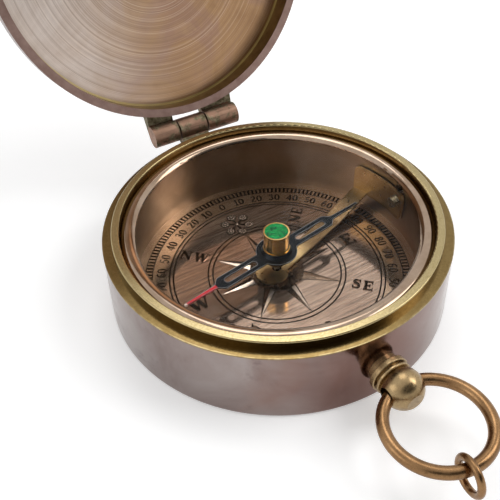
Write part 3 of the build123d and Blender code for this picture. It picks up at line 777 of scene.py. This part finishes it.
def stroke(width, *points):
    """Line of one width through points."""
    return points, [width] * len(points)


def bar(width, y, x0, x1):
    """Level line, such as a serif."""
    return stroke(width, (x0, y), (x1, y))


def brush(*steps):
    """Line of changing width through steps of (x, y, width)."""
    return [(x, y) for x, y, _ in steps], [width for _, _, width in steps]


# Each glyph's advance and strokes; a nine is a six turned half round
SIX_W = 0.6
SIX = [
    (0.5, 0.88), (0.36, 0.95), (0.2, 0.84), (0.1, 0.6), (0.09, 0.32), (0.17, 0.1),
    (0.31, 0.04), (0.46, 0.12), (0.51, 0.3), (0.44, 0.5), (0.29, 0.56), (0.14, 0.47),
]
GLYPHS = {
    "0": (0.62, [bowl(0.31, 0.5, 0.22, 0.45)]),
    "1": (0.5, [
        stroke(0.18, (0.26, 0), (0.26, 1)),
        stroke(0.09, (0.08, 0.8), (0.26, 0.97)),
        bar(0.08, 0.04, 0.06, 0.46),
    ]),
    "2": (0.6, [
        brush(
            (0.08, 0.72, 0.1), (0.15, 0.9, 0.1), (0.3, 0.95, 0.1), (0.46, 0.86, 0.14),
            (0.48, 0.68, 0.18), (0.36, 0.46, 0.16), (0.18, 0.24, 0.12), (0.08, 0.08, 0.1),
        ),
        bar(0.13, 0.06, 0.04, 0.56),
    ]),
    "3": (0.6, [
        stroke(0.12, (0.09, 0.82), (0.2, 0.94), (0.36, 0.94), (0.46, 0.8), (0.42, 0.64), (0.26, 0.54)),
        stroke(0.14, (0.26, 0.54), (0.45, 0.46), (0.51, 0.27), (0.41, 0.1), (0.24, 0.05), (0.08, 0.15)),
    ]),
    "4": (0.64, [
        stroke(0.16, (0.44, 0), (0.44, 1)),
        stroke(0.08, (0.44, 0.97), (0.06, 0.3)),
        bar(0.1, 0.29, 0.02, 0.62),
    ]),
    "5": (0.6, [
        bar(0.11, 0.94, 0.14, 0.52),
        stroke(0.09, (0.17, 0.95), (0.14, 0.52)),
        stroke(
            0.14, (0.14, 0.54), (0.29, 0.6), (0.45, 0.5), (0.51, 0.31),
            (0.43, 0.11), (0.25, 0.04), (0.08, 0.14),
        ),
    ]),
    "6": (SIX_W, [stroke(0.13, *SIX)]),
    "7": (0.58, [bar(0.12, 0.94, 0.04, 0.56), stroke(0.16, (0.5, 0.92), (0.22, 0))]),
    "8": (0.62, [bowl(0.31, 0.74, 0.17, 0.21), bowl(0.31, 0.28, 0.21, 0.24)]),
    "9": (SIX_W, [stroke(0.13, *[(SIX_W - x, 1 - y) for x, y in SIX])]),
    "N": (1.02, [
        stroke(0.11, (0.17, 0.02), (0.17, 0.98)),
        stroke(0.11, (0.85, 0.02), (0.85, 0.98)),
        stroke(0.24, (0.15, 0.98), (0.85, 0.03)),
        bar(0.08, 0.04, 0.01, 0.34),
        bar(0.08, 0.96, 0.68, 1.01),
        bar(0.08, 0.96, 0.0, 0.26),
    ]),
    "E": (0.86, [
        stroke(0.24, (0.23, 0.02), (0.23, 0.98)),
        bar(0.1, 0.95, 0.04, 0.78),
        bar(0.1, 0.5, 0.2, 0.58),
        bar(0.1, 0.05, 0.04, 0.8),
        stroke(0.09, (0.75, 0.72), (0.75, 1)),
        stroke(0.08, (0.56, 0.36), (0.56, 0.64)),
        stroke(0.09, (0.78, 0), (0.78, 0.3)),
    ]),
    "S": (0.72, [
        brush(
            (0.6, 0.78, 0.07), (0.52, 0.91, 0.09), (0.36, 0.95, 0.11), (0.18, 0.89, 0.16), (0.13, 0.75, 0.2),
            (0.2, 0.62, 0.24), (0.36, 0.52, 0.27), (0.51, 0.42, 0.24), (0.58, 0.26, 0.2), (0.5, 0.1, 0.16),
            (0.32, 0.05, 0.11), (0.15, 0.1, 0.09), (0.08, 0.24, 0.07),
        ),
        stroke(0.08, (0.62, 0.68), (0.62, 1)),
        stroke(0.08, (0.07, 0), (0.07, 0.33)),
    ]),
    "W": (1.36, [
        stroke(0.23, (0.16, 0.98), (0.44, 0.02)),
        stroke(0.1, (0.44, 0.03), (0.68, 0.97)),
        stroke(0.23, (0.66, 0.98), (0.92, 0.02)),
        stroke(0.1, (0.92, 0.03), (1.2, 0.97)),
        bar(0.08, 0.96, 0.0, 0.38),
        bar(0.08, 0.96, 0.52, 0.84),
        bar(0.08, 0.96, 1.04, 1.36),
    ]),
}


def write(mesh, text, size, gap, high, place, side=0):
    """Lays glyphs side by side about the middle of the placer's frame, from the ink's foot up."""
    length = sum(GLYPHS[glyph][0] for glyph in text) + gap * (len(text) - 1)
    start = -length / 2
    for glyph in text:
        advance, strokes = GLYPHS[glyph]
        for points, widths in strokes:
            laid = [((start + x) * size, (y - 0.5) * size) for x, y in points]
            strip(mesh, laid, [width * size for width in widths], INK_LOW, high, place, side)
        start += advance + gap


# Figures count up from north and south to 90 at east and west
FIGURE_STEP = 10
FIGURE_R = 17.9
FIGURE_H = 1.5
FIGURE_GAP = 0.06
FIGURE_HIGH = INK_HIGH + 0.02
figures = bmesh.new()
for bearing in range(0, 360, FIGURE_STEP):
    value = min(bearing % 180, 180 - bearing % 180)
    write(figures, str(value), FIGURE_H, FIGURE_GAP, FIGURE_HIGH, on_dial(bearing, FIGURE_R))
piece("dial_figures", figures, "case", [PATINA])

# Letters stand along the radius: the western ones read inward, the others outward
LETTER_STEP = 45
LETTER_R = 13.35
LETTER_H = 2.4
PAIR_H = 1.85
LETTER_GAP = 0.16
LETTER_HIGH = DIAL_TOP + 0.14
letters = bmesh.new()
for i, text in enumerate(("NE", "E", "SE", "S", "SW", "W", "NW"), start=1):
    height = LETTER_H if len(text) == 1 else PAIR_H
    place = on_dial(LETTER_STEP * i, LETTER_R, turn=-90 if "W" in text else 90)
    write(letters, text, height, LETTER_GAP, LETTER_HIGH, place, side=1)
piece("dial_letters", letters, "case", [PATINA, STAR])

# Star: eight ridged rays over a dark outline
STAR_RAYS = 8
STAR_TIP = 9.7
STAR_FOOT = 3.9
STAR_HALF = 0.8
STAR_HIGH = DIAL_TOP + 0.2
OUTLINE_W = 0.2
OUTLINE_TIP_HALF = 0.03
outline_half = STAR_HALF + OUTLINE_W
outline_tip = STAR_TIP + OUTLINE_W
ray_outline = [
    (-outline_half, STAR_FOOT), (outline_half, STAR_FOOT),
    (OUTLINE_TIP_HALF, outline_tip), (-OUTLINE_TIP_HALF, outline_tip),
]
star = bmesh.new()
for i in range(STAR_RAYS):
    place = on_dial(360 / STAR_RAYS * i, 0.0)
    prism(star, ray_outline, INK_LOW, INK_HIGH, place, material=1)
    left = star.verts.new(place(-STAR_HALF, STAR_FOOT, INK_HIGH))
    right = star.verts.new(place(STAR_HALF, STAR_FOOT, INK_HIGH))
    tip = star.verts.new(place(0, STAR_TIP, INK_HIGH))
    crest = star.verts.new(place(0, STAR_FOOT, STAR_HIGH))
    star.faces.new((left, crest, tip)).material_index = 0
    star.faces.new((crest, right, tip)).material_index = 2
    star.faces.new((left, right, crest)).material_index = 2
    star.faces.new((left, tip, right)).material_index = 1
piece("dial_star", star, "case", [STAR, PATINA, STAR_DARK])

# Boss: a wreath of dark beads, a little sunk
WREATH_BEADS = 26
WREATH_R = 3.25
WREATH_SUNK = 0.06
WREATH_BEAD_HALF = (0.42, 0.24, 0.14)
beads = bmesh.new()
for i in range(WREATH_BEADS):
    out = toward(360 / WREATH_BEADS * i)
    seat = Matrix.Translation(out * WREATH_R + UP * (BOSS_TOP - WREATH_SUNK))
    turned = seat @ out.to_track_quat("X", "Z").to_matrix().to_4x4()
    shape = turned @ Matrix.Diagonal((*WREATH_BEAD_HALF, 1))
    bmesh.ops.create_uvsphere(beads, u_segments=12, v_segments=8, radius=1.0, matrix=shape)
wreath = piece("dial_beads", beads, "case", [BOSS])
smooth(wreath, 60.0)

# Ornament at north: six curls of beads about a small middle, on a dark ground
ORNAMENT_AT = 12.7
LOBES = 6
LOBE_OUT = 1.95
CURL_R = 0.47
CURL_BEADS = 7
BEAD_R = 0.19
BEAD_FLAT = 0.8
MIDDLE_R = BEAD_R * 1.6
LOBE_R = BEAD_R * 1.1
STEM_W = 0.3
STEM_FOOT_W = STEM_W * 1.3
STEM_FROM = 0.1
STEM_TO = 1.6
GROUND_R = 0.8
GROUND_SIDES = 16
ornament = bmesh.new()
stems = bmesh.new()
north = on_dial(0, ORNAMENT_AT)


def around(radius, angle, middle=(0, 0)):
    """Point at a radius and an angle, in radians from y, about a middle."""
    return middle[0] + radius * sin(angle), middle[1] + radius * cos(angle)


def bead(point, radius):
    """Flattened bead of the ornament, half sunk in the dial."""
    seat = Matrix.Translation(north(*point, DIAL_TOP)) @ Matrix.Diagonal((1, 1, BEAD_FLAT, 1))
    bmesh.ops.create_uvsphere(ornament, u_segments=10, v_segments=8, radius=radius, matrix=seat)


bead((0, 0), MIDDLE_R)
for k in range(LOBES):
    angle = TURN * k / LOBES
    lobe = around(LOBE_OUT, angle)
    bead(lobe, LOBE_R)
    for m in range(CURL_BEADS):
        bead(around(CURL_R, angle + TURN * m / CURL_BEADS, lobe), BEAD_R)
    stem = [around(STEM_FROM, angle), around(STEM_TO, angle)]
    strip(stems, stem, [STEM_FOOT_W, STEM_W], INK_LOW, INK_HIGH, north)
    ground = [around(GROUND_R, TURN * i / GROUND_SIDES, lobe) for i in range(GROUND_SIDES)]
    prism(stems, ground, INK_LOW, INK_HIGH, north)
flourish = piece("dial_ornament", ornament, "case", [CURL])
smooth(flourish, 50.0)
piece("dial_ornament_ground", stems, "case", [PATINA])

# Needle lock: its level axis passes south of the dial's middle, and stud and knob are made about it
lock_out = toward(LOCK_BEARING)
lock_left = toward(LOCK_BEARING - 90)
stud_foot = UP * STUD_Z - lock_left * STUD_SOUTH


def on_lock(radius, angle, at):
    """Point at a radius and an angle about the lock's axis, at a distance along it."""
    return stud_foot + lock_out * at + lock_left * (radius * cos(angle)) + UP * (radius * sin(angle))


# Stud with a thread on its inner end
STUD_IN = 19.87
STUD_OUT = 27.1
STUD_R = 0.94
THREAD_END = 20.9
THREAD_PITCH = 0.42
THREAD_DEPTH = 0.17
TIP_L = 0.06
TIP_R = STUD_R - 0.12
STUD_SIDES = 28
STUD_STEPS = 140


def stud_radius(at, share):
    """Radius of the stud at a distance along it and a share of a turn round it."""
    radius = STUD_R
    if at < THREAD_END:
        phase = (at / THREAD_PITCH - share) % 1.0
        radius = STUD_R - THREAD_DEPTH * abs(2 * phase - 1)
    return min(radius, TIP_R) if at <= STUD_IN + TIP_L else radius


thread = bmesh.new()
rows = []
for i in range(STUD_STEPS + 1):
    at = STUD_IN + (STUD_OUT - STUD_IN) * i / STUD_STEPS
    shares = [k / STUD_SIDES for k in range(STUD_SIDES)]
    rows.append([thread.verts.new(on_lock(stud_radius(at, share), TURN * share, at)) for share in shares])
join_rows(thread, rows)
thread.faces.new(rows[0])
thread.faces.new(rows[-1])
stud = piece("stud_thread", thread, "lock", [STUD])
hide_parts("lock_stud")
smooth(stud, 50.0)

# Knurled knob on the stud, with a shallow well in its face
KNOB_IN = 25.72
KNOB_OUT = 27.1
KNOB_R = 2.08
KNOB_HOLE_R = 0.97
KNOB_BACK_R = 1.85
KNOB_BACK_BEVEL = 0.22
KNOB_FRONT_R = 1.88
KNOB_FRONT_BEVEL = 0.25
KNOB_CROWN = 0.04
KNOB_FACE_R = 1.4
KNOB_WELL_R = 1.25
KNOB_WELL = 0.12
KNURLS = 36
POINTS_PER_KNURL = 4
KNURL_DEPTH = 0.1
KNURL_SLOPE = 0.04
knob_sides = KNURLS * POINTS_PER_KNURL
knob_rows = (
    (KNOB_HOLE_R, KNOB_IN, False),
    (KNOB_BACK_R, KNOB_IN, False),
    (KNOB_R, KNOB_IN + KNOB_BACK_BEVEL, True),
    (KNOB_R, KNOB_OUT - KNOB_FRONT_BEVEL, True),
    (KNOB_FRONT_R, KNOB_OUT - KNOB_CROWN, False),
    (KNOB_FACE_R, KNOB_OUT, False),
    (KNOB_WELL_R, KNOB_OUT - KNOB_WELL, False),
    (KNOB_HOLE_R, KNOB_OUT - KNOB_WELL, False),
)


def knurl_cut(k):
    """Depth of the knurl at a point of the knob's round: a groove, a slope, a crest and a slope."""
    if k % POINTS_PER_KNURL == 0:
        return KNURL_DEPTH
    return KNURL_SLOPE if k % 2 else 0.0


knob = bmesh.new()
rows = []
for radius, at, knurled in knob_rows:
    row = []
    for k in range(knob_sides):
        cut = knurl_cut(k) if knurled else 0.0
        row.append(knob.verts.new(on_lock(radius - cut, TURN * k / knob_sides, at)))
    rows.append(row)
join_rows(knob, rows + rows[:1])
grip = piece("knob_knurl", knob, "lock", [PENDANT])
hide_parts("lock_knob")
smooth(grip, 25.0)


# Camera at the photograph's view: focal length and shift in pixels, place in millimetres, and its axes
IMAGE_PX = 500
FOCAL_PX = 679.94
CENTRE_SHIFT_PX = 17.27
SENSOR_W = 36.0
CAMERA_AT = Vector((-36.931, -64.290, 76.244))
CAMERA_RIGHT = Vector((0.87717, -0.47898, -0.03402))
CAMERA_UP = Vector((0.35991, 0.60890, 0.70690))
CAMERA_BACK = Vector((-0.31787, -0.63231, 0.70650))
camera_data = bpy.data.cameras.new("camera")
camera_data.sensor_width = SENSOR_W
camera_data.lens = SENSOR_W * FOCAL_PX / IMAGE_PX
camera_data.shift_y = CENTRE_SHIFT_PX / IMAGE_PX
camera_data.clip_start = 0.005
camera_data.clip_end = 20.0
camera = bpy.data.objects.new("camera", camera_data)
scene.collection.objects.link(camera)
scene.camera = camera
turned = Matrix((CAMERA_RIGHT, CAMERA_UP, CAMERA_BACK)).transposed().to_4x4()
camera.matrix_world = Matrix.Translation(CAMERA_AT * MM) @ turned


def seen_rays(tree):
    """1 on the rays of the camera, of mirrors and of glass, and 0 on the rays that light things."""
    path = tree.nodes.new("ShaderNodeLightPath")
    seen = path.outputs["Is Camera Ray"]
    for kind in ("Is Glossy Ray", "Is Transmission Ray"):
        either = tree.nodes.new("ShaderNodeMath")
        either.operation = "MAXIMUM"
        tree.links.new(seen, either.inputs[0])
        tree.links.new(path.outputs[kind], either.inputs[1])
        seen = either.outputs[0]
    return seen


# World: seen as white, and half as bright where it lights things
SEEN_STRENGTH = 1.0
LIT_STRENGTH = 0.5
world = bpy.data.worlds.new("studio")
scene.world = world
world.use_nodes = True
tree = world.node_tree
tree.nodes.clear()
world_out = tree.nodes.new("ShaderNodeOutputWorld")
either = tree.nodes.new("ShaderNodeMixShader")
tree.links.new(seen_rays(tree), either.inputs[0])
for socket, strength in ((either.inputs[1], LIT_STRENGTH), (either.inputs[2], SEEN_STRENGTH)):
    background = tree.nodes.new("ShaderNodeBackground")
    background.inputs["Color"].default_value = (1, 1, 1, 1)
    background.inputs["Strength"].default_value = strength
    tree.links.new(background.outputs[0], socket)
tree.links.new(either.outputs[0], world_out.inputs[0])

# Lamps, in metres
LAMP_AWAY = 0.6


def soft_box(name, direction, size, radiance):
    """Square soft box that faces the compass."""
    data = bpy.data.lights.new(name, "AREA")
    data.shape = "SQUARE"
    data.size = size
    data.energy = radiance * pi * size * size
    lamp = bpy.data.objects.new(name, data)
    scene.collection.objects.link(lamp)
    back = Vector(direction).normalized()
    lamp.location = back * LAMP_AWAY
    lamp.rotation_mode = "QUATERNION"
    lamp.rotation_quaternion = back.to_track_quat("Z", "Y")


soft_box("key_right", toward(bearing=115, elevation=46), size=0.30, radiance=3.97)
soft_box("top", (0.2, 0.38, 0.9), size=0.26, radiance=3.1)
soft_box("fill_left", (-0.875, 0.164, 0.45), size=0.30, radiance=1.4)

# Studio card, in metres, with its brightness from the middle out to the rim
CARD_AWAY = 0.5
CARD_HALF_W = 0.575
CARD_HALF_H = 0.25
CARD_SIDES = 48
CARD_FADE = ((0.45, 0.07), (0.68, 0.2), (0.85, 0.5), (0.98, 1.0))


def dark_card(name, bearing, elevation):
    """Oval card, nearly black in its middle and white at its rim, that only mirrors and glass see."""
    look = Look(name, metallic=0.0)
    look.set(base_color=(0, 0, 0), roughness=1.0)
    look.bsdf.inputs["Specular IOR Level"].default_value = 0.0
    rounded = look.vector("MULTIPLY", look.coords, (1 / CARD_HALF_W, 1 / CARD_HALF_H, 1.0))
    fade = look.ramp(look.vector("LENGTH", rounded), *CARD_FADE)
    look.give(look.bsdf.inputs["Emission Color"], fade)
    look.bsdf.inputs["Emission Strength"].default_value = 1.0
    turns = [TURN * i / CARD_SIDES for i in range(CARD_SIDES)]
    oval = [(CARD_HALF_W * cos(turn), CARD_HALF_H * sin(turn), 0) for turn in turns]
    data = bpy.data.meshes.new(name)
    data.from_pydata(oval, [], [tuple(range(CARD_SIDES))])
    data.materials.append(look.material)
    card = bpy.data.objects.new(name, data)
    scene.collection.objects.link(card)
    out = toward(bearing, elevation)
    card.location = out * CARD_AWAY
    card.rotation_mode = "QUATERNION"
    card.rotation_quaternion = out.to_track_quat("Z", "Y")
    card.visible_camera = False
    card.visible_diffuse = False
    card.visible_shadow = False


dark_card("room_front", bearing=175, elevation=45)

# Floor, in metres: pale, lifted to near white where it is seen, and keeping the shadow
FLOOR_LIFT = 0.31
FLOOR_R = 3.0
FLOOR_SIDES = 96
FLOOR_GAP = 0.02 * MM
floor_look = Look("pale_floor", metallic=0.0)
floor_look.set(base_color=(0.93, 0.93, 0.93), roughness=0.9)
floor_look.bsdf.inputs["Specular IOR Level"].default_value = 0.0
floor_look.bsdf.inputs["Emission Color"].default_value = (1, 1, 1, 1)
lift = floor_look.times(seen_rays(floor_look.tree), FLOOR_LIFT)
floor_look.give(floor_look.bsdf.inputs["Emission Strength"], lift)
floor_mesh = bmesh.new()
bmesh.ops.create_circle(floor_mesh, cap_ends=True, segments=FLOOR_SIDES, radius=FLOOR_R)
floor_data = bpy.data.meshes.new("floor")
floor_mesh.to_mesh(floor_data)
floor_mesh.free()
floor_data.materials.append(floor_look.material)
floor = bpy.data.objects.new("floor", floor_data)
scene.collection.objects.link(floor)
floor.location.z = -FLOOR_GAP

scene.view_settings.view_transform = "Standard"
